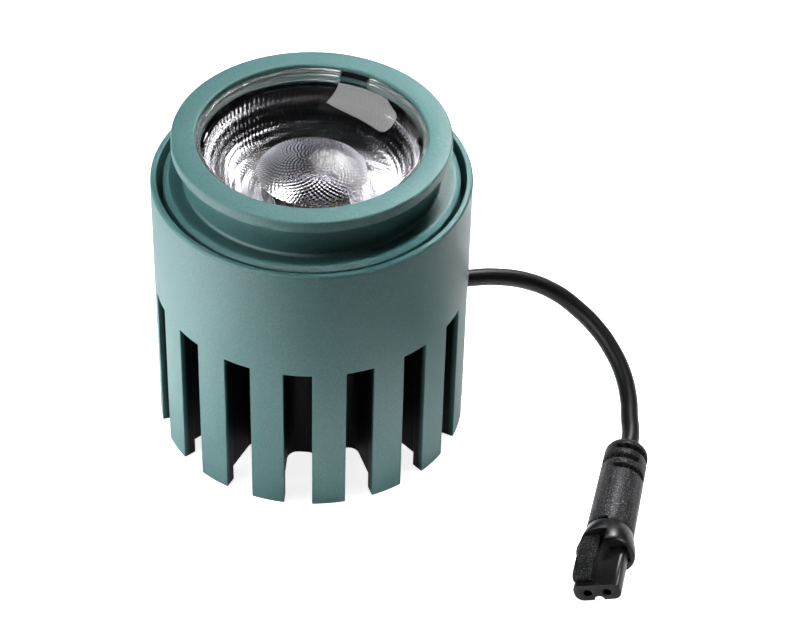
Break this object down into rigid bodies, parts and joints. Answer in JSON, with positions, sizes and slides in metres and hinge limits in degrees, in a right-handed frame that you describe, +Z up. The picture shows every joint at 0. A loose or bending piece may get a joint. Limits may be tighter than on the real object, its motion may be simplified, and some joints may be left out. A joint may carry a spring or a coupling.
{
  "type": "led module",
  "caption": "Round LED light module with a slotted heat sink sleeve, a stepped lens barrel, a clear bowl-shaped lens and a short lead with a two-pole latching plug.",
  "frame": {"origin": "on the lamp's axis at the ends of the cooling bars, on the surface that the module stands on", "axes": "+Z up along the lamp's axis, out of the lens; +X through the slot that the lead leaves by"},
  "size_m": [0.1044, 0.1201, 0.0771],
  "materials": {
    "teal_powder_coat": "fine metallic powder coat on aluminium",
    "black_anodised": "black anodised",
    "clear_acrylic": "clear moulded acrylic",
    "frosted_clip": "translucent moulded plastic",
    "white_ceramic": "plain",
    "phosphor_silicone": "yellow phosphor in silicone",
    "black_plastic": "moulded",
    "contact_brass": "plain",
    "screw_steel": "zinc plated",
    "heat_pad": "filled silicone",
    "black_rubber": "moulded",
    "red_insulation": "extruded",
    "black_insulation": "extruded",
    "cable_jacket": "extruded soft plastic, half gloss",
    "grained_plug": "moulded with a spark-eroded grain",
    "smooth_plug": "moulded smooth"
  },
  "bodies": {
    "root": {"heat_sink_sleeve": "teal_powder_coat", "heat_sink_core": "black_anodised", "lens_barrel": "teal_powder_coat", "tir_lens": "clear_acrylic", "lens_retaining_ring": "frosted_clip", "cob_substrate": "white_ceramic", "cob_phosphor": "phosphor_silicone", "cob_holder": "black_plastic", "holder_contacts": "contact_brass", "holder_screws": "screw_steel", "thermal_pad": "heat_pad", "barrel_screws": "screw_steel", "cable_grommet": "black_rubber", "lead_wire_red": "red_insulation", "lead_wire_black": "black_insulation", "cable": "cable_jacket", "plug_body": "grained_plug", "plug_collar": "smooth_plug", "plug_contact_carrier": "smooth_plug", "plug_contacts": "contact_brass"}
  },
  "joints": []
}
